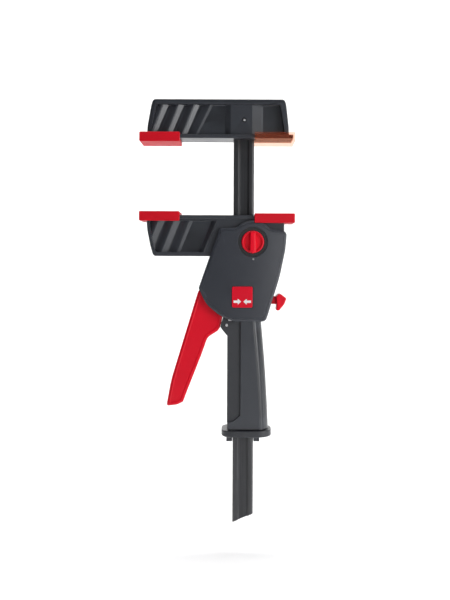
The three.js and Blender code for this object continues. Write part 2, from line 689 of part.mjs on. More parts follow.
addPiece("jaw_body", makeJawBody(), DARK_PLASTIC);
addPiece("front_cover", makeCover(), DARK_PLASTIC);
addPiece("grip_insert", makeGrip(), SOFT_GRIP);
addPiece("handle_end_cap", makeEndCap(), DARK_PLASTIC);
addPiece("sliding_long_pad", makePad(LONG_PAD_INNER, LONG_FACE_Z, -1, -89.9), RED_PLASTIC);
addPiece("sliding_short_pad", makePad(SHORT_PAD_INNER, SHORT_FACE_Z, -1, 37.6), RED_PLASTIC);
addPiece("upper_guide", makeUpperGuide(), BLACK_PLASTIC);
addPiece("lower_guide", makeLowerGuide(), BLACK_PLASTIC);
SCREW_PLACES.forEach((place, i) => addPiece(`cover_screw_${i + 1}`, makeScrew(place), BRIGHT_STEEL));
addPiece("cover_clip", block(CLIP.left, CLIP.right, -14, -12.7, CLIP.bottom, CLIP.top), BRIGHT_STEEL);
addPiece("badge", block(BADGE.left, BADGE.right, -18, -17.4, BADGE.bottom, BADGE.top), RED_PLASTIC);
addPiece("knob_bezel", makeBezel(), BLACK_PLASTIC);
addPiece("mode_marker", barY(MARKER.x, MARKER.z, MARKER.radius, -17.8, -17.1, 12), GREY_PLASTIC);
addPiece("trigger_pin", makePin(TRIGGER_PIVOT, 14), BRIGHT_STEEL);
addPiece("release_pin", makePin(RELEASE_PIVOT, 12), BRIGHT_STEEL);
addPiece("nose_rivet_front", makeRivet(-14.3, -12), BRIGHT_STEEL);
addPiece("nose_rivet_rear", makeRivet(12, 14.3), BRIGHT_STEEL);
addPiece("brake_spring_front", makeBrakeSpring(-1), BRIGHT_STEEL);
addPiece("brake_spring_rear", makeBrakeSpring(1), BRIGHT_STEEL);
addPiece("drive_spring", makeDriveSpring(), BRIGHT_STEEL);

addPiece("trigger", makeTrigger(), RED_PLASTIC);
const { left: driveLeft, right: driveRight } = DRIVE_PLATE;
addPiece("drive_plate_upper", jamPlate(driveLeft, driveRight, -117.8, 2), BRIGHT_STEEL);
addPiece("drive_plate_lower", jamPlate(driveLeft, driveRight, -120, 1.9), BRIGHT_STEEL);
addPiece("drive_spring_seat", makeSpringSeat(), BLACK_PLASTIC);
addPiece("release_lever", makeReleaseLever(), RED_PLASTIC);
addPiece("brake_plate_upper", brakePlate(-148.6), BRIGHT_STEEL);
addPiece("brake_plate_lower", brakePlate(-151.1), BRIGHT_STEEL);
addPiece("mode_knob", makeKnob(), RED_PLASTIC);
addPiece("knob_shaft", barY(KNOB.x, KNOB.z, SHAFT_RADIUS, -18.2, -6.5, 12), BRIGHT_STEEL);
addPiece("selector_pinion", makePinion(), BRIGHT_STEEL);
addPiece("selector_rack", makeRack(), BLACK_PLASTIC);

export default group;
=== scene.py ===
"""A one-handed bar clamp: fine meshes, materials, camera and light round the CAD frame."""

import json
import math

import bmesh
import bpy
from mathutils import Matrix, Vector


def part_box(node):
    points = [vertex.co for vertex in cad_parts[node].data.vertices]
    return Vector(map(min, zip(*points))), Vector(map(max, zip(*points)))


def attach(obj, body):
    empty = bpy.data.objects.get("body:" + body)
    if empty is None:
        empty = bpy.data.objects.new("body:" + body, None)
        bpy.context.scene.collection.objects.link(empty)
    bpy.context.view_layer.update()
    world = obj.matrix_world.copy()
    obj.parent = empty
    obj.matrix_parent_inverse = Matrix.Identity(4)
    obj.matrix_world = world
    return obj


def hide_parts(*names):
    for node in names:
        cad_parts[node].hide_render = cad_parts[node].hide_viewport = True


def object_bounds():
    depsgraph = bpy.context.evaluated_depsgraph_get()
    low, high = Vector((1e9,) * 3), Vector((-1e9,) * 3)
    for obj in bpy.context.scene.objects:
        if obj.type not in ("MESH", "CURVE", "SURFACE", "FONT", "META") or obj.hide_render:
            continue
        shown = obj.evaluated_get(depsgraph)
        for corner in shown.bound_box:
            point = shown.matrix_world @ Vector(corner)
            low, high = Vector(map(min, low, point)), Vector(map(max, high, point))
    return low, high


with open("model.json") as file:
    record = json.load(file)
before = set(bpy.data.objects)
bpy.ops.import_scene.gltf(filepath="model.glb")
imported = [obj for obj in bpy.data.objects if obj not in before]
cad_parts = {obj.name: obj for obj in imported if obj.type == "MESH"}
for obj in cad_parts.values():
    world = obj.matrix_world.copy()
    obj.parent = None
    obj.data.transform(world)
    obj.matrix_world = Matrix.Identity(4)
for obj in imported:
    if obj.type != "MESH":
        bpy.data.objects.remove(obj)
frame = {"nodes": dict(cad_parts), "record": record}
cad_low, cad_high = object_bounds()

# ---------------------------------------------------------------- drawing frame
# Shapes are drawn in millimetres about the rail's centre line, with z = 0 in the
# plane of the fixed pads, and moved to the row frame when a piece is finished.
MM = 0.001
RAIL_X = (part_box("rail")[0].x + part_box("rail")[1].x) / 2
TO_ROW = Matrix.Translation((RAIL_X, 0, 0)) @ Matrix.Scale(MM, 4)


def drawn_box(node):
    """A CAD node's lowest and highest corners in drawing millimetres."""
    low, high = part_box(node)
    to_drawing = TO_ROW.inverted()
    return to_drawing @ low, to_drawing @ high


def drawn_centre(node):
    low, high = drawn_box(node)
    return (low + high) / 2


# ------------------------------------------------------------------- dimensions
rail_low, rail_high = drawn_box("rail")
RAIL_HALF_WIDTH = rail_high.x
RAIL_HALF_DEPTH = rail_high.y
RAIL_END_RISE = 7.9  # the slanted lower end climbs this much from left to right

jaw_low, jaw_high = drawn_box("fixed_jaw")
body_low, body_high = drawn_box("jaw_body")
cover_low, cover_high = drawn_box("front_cover")
JAW_DEPTH = 12.0  # half the thickness of both jaws
FLANGE_DEPTH = jaw_high.y
FLANGE_THICKNESS = 3.3
RECESS_FLOOR = 7.6  # distance of the recess floor from the middle plane
BOSS_FACE = 11.0  # of the boss round the rail; at 11.2 the pin hole's boolean never ends
RECESS_EDGE = 0.8  # rounding where a recess's wall meets its floor
JAW_EDGE = 1.0
JAW_TOP_CORNER = 3.0

pad_low, pad_high = drawn_box("fixed_long_pad")
PAD_DEPTH = pad_high.y
PAD_HEIGHT = pad_high.z - pad_low.z
PAD_FACE = 3.1  # thickness in front of the flange
PAD_END_WALL = 1.5
GAP = 0.3  # clearance between neighbouring pieces

LONG_FACE_Z = drawn_box("sliding_long_pad")[1].z
SHORT_FACE_Z = drawn_box("sliding_short_pad")[1].z
ARM_BOTTOM = -105.6

COVER_FRONT = cover_low.y
COVER_BACK = cover_high.y
COVER_CROWN = 2.2  # fall of the cover's front at its edges
COVER_CROWN_X = 1.0
COVER_CROWN_REACH = 40.0
HOUSING_FRONT = -14.0
HOUSING_REAR = body_high.y
HOUSING_BOTTOM = cover_low.z
REAR_WALL = 14.0

HANDLE_DEPTH = 14.0
HANDLE_LEFT = -14.7
HANDLE_RIGHT_TOP = 17.3
HANDLE_RIGHT_BOTTOM = 24.2
HANDLE_BOTTOM = body_low.z
FOOT_GROOVE = 1.0  # height of the shadow groove between the handle and its end cap
GRIP_RECESS = 1.4  # the insert's front lies this far behind the housing's
SEAM_X = -2.4  # where the soft insert ends on the front and rear

knob_middle = drawn_centre("knob_bezel")
KNOB_X, KNOB_Z = knob_middle.x, knob_middle.z
KNOB_RADIUS = 10.3
TRIGGER_HALF_DEPTH = drawn_box("trigger")[1].y
BEZEL_RADIUS = 13.4
KNOB_FACE = -19.2  # the disc's rim, the floor of its dish and its back, from front to rear
KNOB_FLOOR = -17.2
KNOB_BACK = -16.5
SCREW_HOLE = 1.8
RIVET_HOLE = 1.4
INSIDE_OF_SKIN = 2.0  # thickness of the soft insert


# ------------------------------------------------------------------ mesh tools
SAME_FACE_ANGLE = math.radians(1.6)  # faces that turn less than this are one surface


def new_object(name, bm):
    bmesh.ops.remove_doubles(bm, verts=bm.verts, dist=1e-4)
    bmesh.ops.recalc_face_normals(bm, faces=bm.faces)
    mesh = bpy.data.meshes.new(name)
    bm.to_mesh(mesh)
    bm.free()
    obj = bpy.data.objects.new(name, mesh)
    bpy.context.scene.collection.objects.link(obj)
    return obj


def rounded(corners, steps=7):
    """A closed outline from (x, z) or (x, z, radius) corners, with true arcs."""
    points = []
    count = len(corners)
    for i, corner in enumerate(corners):
        here = Vector(corner[:2])
        radius = corner[2] if len(corner) > 2 else 0
        if radius <= 0:
            points.append(here)
            continue
        before = Vector(corners[i - 1][:2]) - here
        after = Vector(corners[(i + 1) % count][:2]) - here
        half = before.angle(after) / 2
        reach = min(radius / math.tan(half), 0.48 * before.length, 0.48 * after.length)
        radius = reach * math.tan(half)
        bisector = (before.normalized() + after.normalized()).normalized()
        centre = here + bisector * (radius / math.sin(half))
        start = here + before.normalized() * reach - centre
        end = here + after.normalized() * reach - centre
        sweep = start.angle_signed(end)
        for k in range(steps + 1):
            turn = -sweep * k / steps
            c, s = math.cos(turn), math.sin(turn)
            points.append(centre + Vector((start.x * c - start.y * s, start.x * s + start.y * c)))
    return points


def area(points):
    pairs = zip(points, points[1:] + points[:1])
    return sum(a.x * b.y - b.x * a.y for a, b in pairs) / 2


def inset(points, distance):
    """Moves every point of an outline inwards (outwards if negative)."""
    turn = 1 if area(points) > 0 else -1
    moved = []
    for i, point in enumerate(points):
        a = (point - points[i - 1]).normalized()
        b = (points[(i + 1) % len(points)] - point).normalized()
        normal = Vector((-a.y - b.y, a.x + b.x)) * turn
        moved.append(point + normal * (distance / max(0.4, 1 + a.dot(b))))
    return moved


def inset_corners(corners, distance):
    """Corners for rounded() with every side moved inwards and the arcs kept parallel."""
    turn = 1 if area([Vector(c[:2]) for c in corners]) > 0 else -1
    moved = []
    for i, corner in enumerate(corners):
        here = Vector(corner[:2])
        a = (here - Vector(corners[i - 1][:2])).normalized()
        b = (Vector(corners[(i + 1) % len(corners)][:2]) - here).normalized()
        normal = Vector((-a.y - b.y, a.x + b.x)) * turn
        place = here + normal * (distance / (1 + a.dot(b)))
        radius = corner[2] if len(corner) > 2 else 0
        if radius > 0:
            convex = turn * (a.x * b.y - a.y * b.x) > 0
            radius = max(0.3, radius - distance if convex else radius + distance)
        moved.append((place.x, place.y, radius))
    return moved


def stepped(corners, profile, y_front, steps=8):
    """A slab whose edge follows a profile of (inset, distance behind y_front) pairs."""
    rings = []
    for distance, depth in profile:
        points = rounded(inset_corners(corners, distance), steps)
        rings.append([(p.x, y_front + depth, p.y) for p in points])
    return loft("stepped", rings)


def rimmed(points, y_floor, y_face, rim=0.35):
    """A cutter for a recess whose mouth, in the face at y_face, is rounded over."""
    rings = [(0, y_floor), (0, y_face + rim)]
    for k in range(1, 5):
        angle = math.pi / 2 * k / 4
        rings.append((rim * (1 - math.cos(angle)), y_face + rim * (1 - math.sin(angle))))
    rings.append((rim, y_face - 4))
    return loft("recess", [[(p.x, y, p.y) for p in inset(points, -out)] for out, y in rings])


def rounded_rings(points, start, end, start_edge, end_edge, steps):
    """Outlines with their levels, from one end of a slab to the other."""
    rings = []
    for k in range(steps + 1 if start_edge else 1):
        angle = math.pi / 2 * k / steps if start_edge else math.pi / 2
        ring = inset(points, start_edge * (1 - math.sin(angle)))
        rings.append((ring, start + start_edge * (1 - math.cos(angle))))
    for k in range(steps, -1, -1) if end_edge else [0]:
        angle = math.pi / 2 * k / steps if end_edge else math.pi / 2
        ring = inset(points, end_edge * (1 - math.sin(angle)))
        rings.append((ring, end - end_edge * (1 - math.cos(angle))))
    return rings


def loft(name, rings):
    """Joins closed rings of 3-D points, all of one length, and caps both ends."""
    bm = bmesh.new()
    layers = [[bm.verts.new(p) for p in ring] for ring in rings]
    count = len(layers[0])
    for low, high in zip(layers, layers[1:]):
        for i in range(count):
            j = (i + 1) % count
            bm.faces.new((low[i], low[j], high[j], high[i]))
    for layer in (layers[0], layers[-1]):
        bm.faces.new(layer)
    big = [f for f in bm.faces if len(f.verts) > 4]
    bmesh.ops.triangulate(bm, faces=big, ngon_method="EAR_CLIP")
    return new_object(name, bm)


def slab(points, y_front, y_back, front_edge=0.0, back_edge=0.0, steps=4):
    """An outline in the XZ plane, extruded along Y, with rounded edges."""
    rings = rounded_rings(points, y_front, y_back, front_edge, back_edge, steps)
    return loft("slab", [[(p.x, y, p.y) for p in ring] for ring, y in rings])


def column(points, z_low, z_high, low_edge=0.0, high_edge=0.0, steps=4):
    """An outline in the XY plane, extruded along Z, with rounded edges."""
    rings = rounded_rings(points, z_low, z_high, low_edge, high_edge, steps)
    return loft("column", [[(p.x, p.y, z) for p in ring] for ring, z in rings])


def circle(x, z, radius, count=64):
    turns = [2 * math.pi * n / count for n in range(count)]
    return [Vector((x + radius * math.cos(t), z + radius * math.sin(t))) for t in turns]


def block(x0, x1, y0, y1, z0, z1, edge=0.0):
    low, high = sorted((z0, z1))
    corners = [(x0, y0, edge), (x1, y0, edge), (x1, y1, edge), (x0, y1, edge)]
    return column(rounded(corners, 3), low, high, edge, edge, 3)


def bar_y(x, z, radius, y_front, y_back, edge=0.0, count=48):
    return slab(circle(x, z, radius, count), y_front, y_back, edge, edge, 3)


def bake(obj):
    """Applies an object's modifiers to its mesh."""
    graph = bpy.context.evaluated_depsgraph_get()
    mesh = bpy.data.meshes.new_from_object(obj.evaluated_get(graph))
    obj.modifiers.clear()
    old = obj.data
    obj.data = mesh
    bpy.data.meshes.remove(old)
    return obj


def combine(operation, target, tools):
    for tool in tools:
        modifier = target.modifiers.new("join", "BOOLEAN")
        modifier.operation = operation
        modifier.object = tool
        modifier.solver = "MANIFOLD"
    bpy.context.view_layer.update()
    bake(target)
    for tool in tools:
        bpy.data.objects.remove(tool)
    return target


def join(target, *tools):
    return combine("UNION", target, tools)


def cut(target, *tools):
    return combine("DIFFERENCE", target, tools)


def meet(target, *tools):
    return combine("INTERSECT", target, tools)


def turned_back(obj):
    """The same shape mirrored to the rear, for features on both faces."""
    obj.data.transform(Matrix.Scale(-1, 4, (0, 1, 0)))
    obj.data.flip_normals()
    return obj


def both_faces(make):
    return [make(), turned_back(make())]


def soften(obj, width, segments=2, angle=38):
    """Rounds the sharp edges that cutting and joining left."""
    bevel = obj.modifiers.new("edges", "BEVEL")
    bevel.width = width
    bevel.segments = segments
    bevel.limit_method = "ANGLE"
    bevel.angle_limit = math.radians(angle)
    bevel.use_clamp_overlap = True
    bevel.miter_outer = "MITER_ARC"
    bevel.harden_normals = False
    bpy.context.view_layer.update()
    return bake(obj)


def grid_cut(obj, step, axes="xz"):
    """Slices a mesh along a grid, so that its flat faces can be shaped."""
    bm = bmesh.new()
    bm.from_mesh(obj.data)
    bmesh.ops.triangulate(bm, faces=[f for f in bm.faces if len(f.verts) > 4])
    directions = {"x": Vector((1, 0, 0)), "y": Vector((0, 1, 0)), "z": Vector((0, 0, 1))}
    for axis in axes:
        normal = directions[axis]
        spans = [v.co.dot(normal) for v in bm.verts]
        level = math.floor(min(spans) / step) * step + step / 2
        while level < max(spans):
            everything = bm.verts[:] + bm.edges[:] + bm.faces[:]
            place = normal * level
            bmesh.ops.bisect_plane(bm, geom=everything, plane_co=place, plane_no=normal, dist=1e-4)
            level += step
    bm.to_mesh(obj.data)
    bm.free()
    return obj


def shape_points(obj, move):
    for vertex in obj.data.vertices:
        vertex.co = move(vertex.co)
    obj.data.update()
    return obj


def shade(obj, crease):
    """Smooth shading in which broad faces stay flat and only their edges turn."""
    mesh = obj.data
    mesh.shade_smooth()
    mesh.set_sharp_from_angle(angle=crease)
    bm = bmesh.new()
    bm.from_mesh(mesh)
    bm.faces.ensure_lookup_table()
    group = [-1] * len(bm.faces)
    areas = []
    for seed in bm.faces:
        if group[seed.index] >= 0:
            continue
        group[seed.index] = len(areas)
        stack, total = [seed], 0.0
        while stack:
            face = stack.pop()
            total += face.calc_area()
            for edge in face.edges:
                if len(edge.link_faces) != 2 or edge.calc_face_angle() > SAME_FACE_ANGLE:
                    continue
                for other in edge.link_faces:
                    if group[other.index] < 0:
                        group[other.index] = len(areas)
                        stack.append(other)
        areas.append(total)
    normals = []
    for face in bm.faces:
        for loop in face.loops:
            normals.append(corner_normal(loop, crease, group, areas))
    bm.free()
    mesh.normals_split_custom_set(normals)


def corner_normal(loop, crease, group, areas):
    """Mean normal of the faces joined smoothly round a corner, broad faces first."""
    seen = {loop.face}
    stack = [loop]
    total = Vector()
    while stack:
        here = stack.pop()
        weight = areas[group[here.face.index]] ** 2 * max(1e-4, here.calc_angle())
        total += here.face.normal * weight
        for edge in (here.edge, here.link_loop_prev.edge):
            if len(edge.link_faces) != 2 or edge.calc_face_angle() > crease:
                continue
            for other in edge.link_faces:
                if other not in seen:
                    seen.add(other)
                    stack.append(next(x for x in other.loops if x.vert == loop.vert))
    return total.normalized() if total.length > 0 else loop.face.normal.copy()


def piece(name, obj, material, body, slot, *nodes, crease=32):
    """Finishes a mesh as a piece of the clamp that stands for CAD nodes."""
    obj.name = name
    obj.data.name = name
    obj.data.transform(TO_ROW)
    obj.data.materials.clear()
    obj.data.materials.append(material)
    shade(obj, math.radians(crease))
    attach(obj, body)
    if nodes:
        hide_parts(*nodes)
    return obj


# ------------------------------------------------------------------- materials
def slot_colour(slot_name):
    for row in frame["record"]["materials"]:
        if row["slot"] == slot_name:
            return tuple(row["base_color"][:3])
    raise KeyError(slot_name)


class Nodes:
    """Small helper that adds and links shader nodes."""

    def __init__(self, name):
        self.material = bpy.data.materials.new(name)
        self.material.use_nodes = True
        self.tree = self.material.node_tree
        self.shader = self.tree.nodes["Principled BSDF"]
        self.place = self.add("ShaderNodeTexCoord").outputs["Object"]

    def add(self, kind, **settings):
        node = self.tree.nodes.new(kind)
        for key, value in settings.items():
            setattr(node, key, value)
        return node

    def link(self, source, target):
        self.tree.links.new(source, target)

    def noise(self, scale, detail=3.0, roughness=0.5, stretch=None):
        node = self.add("ShaderNodeTexNoise")
        node.inputs["Scale"].default_value = scale
        node.inputs["Detail"].default_value = detail
        node.inputs["Roughness"].default_value = roughness
        place = self.place
        if stretch:
            mapping = self.add("ShaderNodeMapping")
            mapping.inputs["Scale"].default_value = stretch
            self.link(place, mapping.inputs["Vector"])
            place = mapping.outputs["Vector"]
        self.link(place, node.inputs["Vector"])
        return node.outputs["Fac"]

    def spread(self, factor, low, high, out_low, out_high):
        node = self.add("ShaderNodeMapRange")
        for key, value in zip(("From Min", "From Max", "To Min", "To Max"), (low, high, out_low, out_high)):
            node.inputs[key].default_value = value
        self.link(factor, node.inputs["Value"])
        return node.outputs["Result"]

    def blend(self, factor, dark, light):
        node = self.add("ShaderNodeMix", data_type="RGBA")
        self.link(factor, node.inputs["Factor"])
        for key, value in (("A", dark), ("B", light)):
            socket = [s for s in node.inputs if s.name == key and s.type == "RGBA"][0]
            if isinstance(value, tuple):
                socket.default_value = (*value[:3], 1)
            else:
                self.link(value, socket)
        return [s for s in node.outputs if s.type == "RGBA"][0]

    def bump(self, height, strength, distance, before=None):
        node = self.add("ShaderNodeBump")
        node.inputs["Strength"].default_value = strength
        node.inputs["Distance"].default_value = distance
        self.link(height, node.inputs["Height"])
        if before:
            self.link(before, node.inputs["Normal"])
        return node.outputs["Normal"]

    def edges(self, low, high):
        """0 on flat and hollow places, 1 on worn outer edges."""
        geometry = self.add("ShaderNodeNewGeometry")
        return self.spread(geometry.outputs["Pointiness"], low, high, 0.0, 1.0)


def scaled(colour, factor):
    return tuple(min(1.0, c * factor) for c in colour)


def moulded(
    slot, roughness, specular=0.5, grain=0.25, grain_size=2600, contrast=0.12, edge=1.5, name=None, gain=1.0
):
    """Injection-moulded plastic: eroded grain, faint flow marks, polished edges.

    Roughness stays at 0.28 or more: ranges that reached down to 0.23 left marks in the denoised picture.
    """
    n = Nodes(name or slot)
    colour = scaled(slot_colour(slot), gain)
    dark, light = scaled(colour, 1 - contrast), scaled(colour, 1 + contrast)
    cloud = n.noise(38, 4, 0.6)
    fine = n.noise(grain_size, 2, 0.55)
    tone = n.blend(n.spread(cloud, 0.3, 0.7, 0, 1), dark, light)
    speck = n.blend(n.spread(fine, 0.35, 0.7, 0, 1), dark, tone)
    worn = n.blend(n.edges(0.52, 0.6), speck, scaled(colour, edge))
    n.link(worn, n.shader.inputs["Base Color"])
    n.link(n.spread(cloud, 0.25, 0.75, roughness - 0.03, roughness + 0.04), n.shader.inputs["Roughness"])
    soft = n.bump(cloud, 0.06, 0.0006)
    n.link(n.bump(fine, grain, 0.00005, soft), n.shader.inputs["Normal"])
    n.shader.inputs["Specular IOR Level"].default_value = specular
    return n.material


def black_steel(name, colour):
    """Burnished, oiled black steel with fine drawing lines along the rail."""
    n = Nodes(name)
    lines = n.noise(900, 3, 0.6, stretch=(1, 1, 0.02))
    cloud = n.noise(60, 4, 0.6)
    tone = n.blend(n.spread(lines, 0.35, 0.7, 0, 1), scaled(colour, 0.75), scaled(colour, 1.3))
    worn = n.blend(n.edges(0.53, 0.62), tone, (0.16, 0.16, 0.165))
    n.link(worn, n.shader.inputs["Base Color"])
    n.link(n.spread(cloud, 0.3, 0.7, 0.3, 0.42), n.shader.inputs["Roughness"])
    n.link(n.bump(lines, 0.12, 0.00004), n.shader.inputs["Normal"])
    n.shader.inputs["Metallic"].default_value = 0.35
    n.shader.inputs["Specular IOR Level"].default_value = 0.6
    return n.material


def bright_steel(name, colour, roughness):
    """Plated or ground steel, with fine turning lines."""
    n = Nodes(name)
    lines = n.noise(2200, 3, 0.6, stretch=(1, 0.15, 1))
    cloud = n.noise(240, 4, 0.6)
    tone = n.blend(n.spread(cloud, 0.3, 0.7, 0, 1), scaled(colour, 0.8), scaled(colour, 1.15))
    n.link(tone, n.shader.inputs["Base Color"])
    n.link(n.spread(lines, 0.3, 0.7, roughness - 0.07, roughness + 0.1), n.shader.inputs["Roughness"])
    n.link(n.bump(lines, 0.15, 0.00003), n.shader.inputs["Normal"])
    n.shader.inputs["Metallic"].default_value = 1.0
    return n.material


def see_through(name, colour, tint, body):
    """Clear plastic that tints what is behind it, with a little colour of its own."""
    n = Nodes(name)
    cloud = n.noise(90, 4, 0.6)
    tone = n.blend(n.spread(cloud, 0.3, 0.7, 0, 1), scaled(colour, 0.88), scaled(colour, 1.1))
    n.link(tone, n.shader.inputs["Base Color"])
    n.link(n.spread(cloud, 0.3, 0.7, 0.28, 0.4), n.shader.inputs["Roughness"])
    n.link(n.bump(n.noise(1500, 2), 0.1, 0.00004), n.shader.inputs["Normal"])
    clear = n.add("ShaderNodeBsdfTransparent")
    clear.inputs["Color"].default_value = (*tint, 1)
    mixed = n.add("ShaderNodeMixShader")
    mixed.inputs["Fac"].default_value = body
    n.link(clear.outputs["BSDF"], mixed.inputs[1])
    n.link(n.shader.outputs["BSDF"], mixed.inputs[2])
    n.link(mixed.outputs["Shader"], n.tree.nodes["Material Output"].inputs["Surface"])
    return n.material


HOUSING = moulded("housing_plastic", 0.31, 0.42, grain=0.15)
COVER = moulded("cover_plastic", 0.34, 0.4, grain=0.12)
GRIP = moulded("soft_grip", 0.62, 0.28, grain=0.5, grain_size=1800)
BLACK = moulded("black_plastic", 0.45, 0.4)
RED = moulded("red_plastic", 0.32, 0.22, grain=0.08, contrast=0.06, edge=1.15)
RED_PAD = moulded("red_pad", 0.5, 0.2, grain=0.15, contrast=0.06, edge=1.1)
BADGE = moulded("badge_plastic", 0.31, 0.25, grain=0.05, contrast=0.05, edge=1.1)
PRINT = moulded("marker_plastic", 0.4, grain=0.05, contrast=0.04, edge=1.0, name="badge_print", gain=2.3)
MARKER = moulded("marker_plastic", 0.45, grain=0.1, contrast=0.04, edge=1.1)
AMBER = see_through("amber_pad", (0.85, 0.16, 0.06), (0.95, 0.80, 0.72), 0.07)
BLACK_STEEL = black_steel("black_steel", slot_colour("black_steel"))
STEEL = bright_steel("bright_steel", slot_colour("bright_steel"), 0.36)
PLATE_STEEL = bright_steel("plate_steel", slot_colour("plate_steel"), 0.4)


# ------------------------------------------------------------------------ rail
def make_rail():
    w, d = RAIL_HALF_WIDTH, RAIL_HALF_DEPTH
    groove, slope, depth = 3.5, 1.5, 1.3
    front = [(-w, -d, 2.0), (-groove - slope, -d, 0.7), (-groove, depth - d, 0.7),
             (groove, depth - d, 0.7), (groove + slope, -d, 0.7), (w, -d, 2.0)]
    section = rounded(front + [(-x, -y, r) for x, y, r in front], 5)
    hole = rounded([(-7.9, -2.5, 1), (7.9, -2.5, 1), (7.9, 2.5, 1), (-7.9, 2.5, 1)], 4)
    low = rail_low.z
    bar = column(section, low - 2, rail_high.z, 0, 0.4)
    bore = column(hole, low - 4, rail_high.z + 2)
    slope_per_mm = RAIL_END_RISE / (2 * w)
    past = 3
    waste = [
        Vector((-w - past, low - past * slope_per_mm)),
        Vector((w + past, low + RAIL_END_RISE + past * slope_per_mm)),
        Vector((w + past, low - 20)), Vector((-w - past, low - 20)),
    ]
    cut(bar, bore, slab(waste, -9, 9))
    soften(bar, 0.35, 2, 50)
    piece("rail", bar, BLACK_STEEL, "fixed_frame", "black_steel", "rail")


# ------------------------------------------------------------------------ jaws
def sawtooth(x_top, x_bottom, z_top, z_bottom, width_top, width_bottom, crest, rise):
    """A rib: it rises softly from the left, and falls in a slope to its right.

    x_top and x_bottom are the foot of its right slope, which is that wide at each end.
    """
    bm = bmesh.new()
    rings = []
    for x, z, width in ((x_top, z_top, width_top), (x_bottom, z_bottom, width_bottom)):
        floor = -RECESS_FLOOR + 0.6
        start, top = x - width - rise, x - width
        profile = [(start - 0.4, floor), (start, -RECESS_FLOOR)]
        for k in range(1, 8):
            t = k / 8
            profile.append((start + rise * t, -RECESS_FLOOR - crest * (t * t * (3 - 2 * t))))
        profile += [(top, -RECESS_FLOOR - crest), (top + 0.5, -RECESS_FLOOR - crest + 0.12)]
        for k in range(1, 6):
            t = k / 6
            drop = crest * (0.12 + 0.88 * t)
            profile.append((top + 0.5 + (width - 0.5) * t, -RECESS_FLOOR - crest + drop))
        profile += [(x, -RECESS_FLOOR), (x + 0.1, floor)]
        rings.append([(px, py, z) for px, py in profile])
    layers = [[bm.verts.new(p) for p in ring] for ring in rings]
    count = len(layers[0])
    for i in range(count):
        j = (i + 1) % count
        bm.faces.new((layers[0][i], layers[0][j], layers[1][j], layers[1][i]))
    for layer in layers:
        bm.faces.new(layer)
    ends = [f for f in bm.faces if len(f.verts) > 4]
    bmesh.ops.triangulate(bm, faces=ends, ngon_method="EAR_CLIP")
    return new_object("rib", bm)


def recess_cutter(points):
    return slab(points, -JAW_DEPTH - 2, -RECESS_FLOOR, 0, RECESS_EDGE, 3)


def recess_space(points):
    return slab(points, -JAW_DEPTH + 0.3, -RECESS_FLOOR + 1)


def rail_slot(clearance, z_low, z_high):
    x, y = RAIL_HALF_WIDTH + clearance, RAIL_HALF_DEPTH + clearance
    return block(-x, x, -y, y, z_low, z_high, 0.6)


def make_fixed_jaw():
    bottom = PAD_FACE + GAP
    top = jaw_high.z
    body_outline = rounded([
        (-89.6, bottom), (-89.6, 14, 40), (-85.6, 36, 30), (-83.9, top, JAW_TOP_CORNER),
        (37.0, top, JAW_TOP_CORNER), (38.9, 36, 30), (41.4, 14, 40), (41.4, bottom),
    ])
    recess_outline = rounded([
        (-86.0, 7.4, 1.5), (-85.7, 14, 40), (-80.7, 35.0, 2.0),
        (33.6, 35.0, 2.0), (37.2, 14, 40), (37.5, 7.4, 1.5),
    ])
    jaw = slab(body_outline, -JAW_DEPTH, JAW_DEPTH, JAW_EDGE, JAW_EDGE)
    y = FLANGE_DEPTH
    flange = block(jaw_low.x, jaw_high.x, -y, y, bottom, bottom + FLANGE_THICKNESS, 0.5)
    cut(jaw, *both_faces(lambda: recess_cutter(recess_outline)))

    def ribs():
        pitch = 14.4
        made = [
            sawtooth(-69.6 + pitch * n, -82.5 + pitch * n, 36, 6, 5.5, 4.5, 3.0, 8.0 - 0.2 * n)
            for n in range(3)
        ]
        made.append(sawtooth(-28.2, -43.4, 36, 6, 2.6, 2.2, 1.7, 8.0))
        return made

    def boss():
        face, floor = BOSS_FACE, RECESS_FLOOR - 0.5
        cross = [(-19.0, -floor), (-17.6, -RECESS_FLOOR, 2), (-12.4, -face, 1.2), (7.6, -face, 1.0),
                 (17.6, -RECESS_FLOOR, 0.5), (19.0, -floor)]
        return column(rounded(cross, 4), 6, 36)

    for rear in (False, True):
        for feature in [*ribs(), boss()]:
            meet(feature, recess_space(inset(recess_outline, -0.2)))
            join(jaw, turned_back(feature) if rear else feature)
    join(jaw, flange)
    pin = drawn_centre("fixed_jaw_pin")
    cut(jaw, rail_slot(GAP, bottom - 5, rail_high.z + GAP))
    soften(jaw, 0.3, 2)
    cut(jaw, bar_y(pin.x, pin.z, 1.9, -20, 20))
    piece("fixed_jaw", jaw, HOUSING, "fixed_frame", "housing_plastic", "fixed_jaw")
    dowel = bar_y(pin.x, pin.z, 1.45, -BOSS_FACE + 0.1, BOSS_FACE - 0.1, 0.8, 32)
    piece("fixed_jaw_pin", dowel, STEEL, "fixed_frame", "bright_steel", "fixed_jaw_pin")


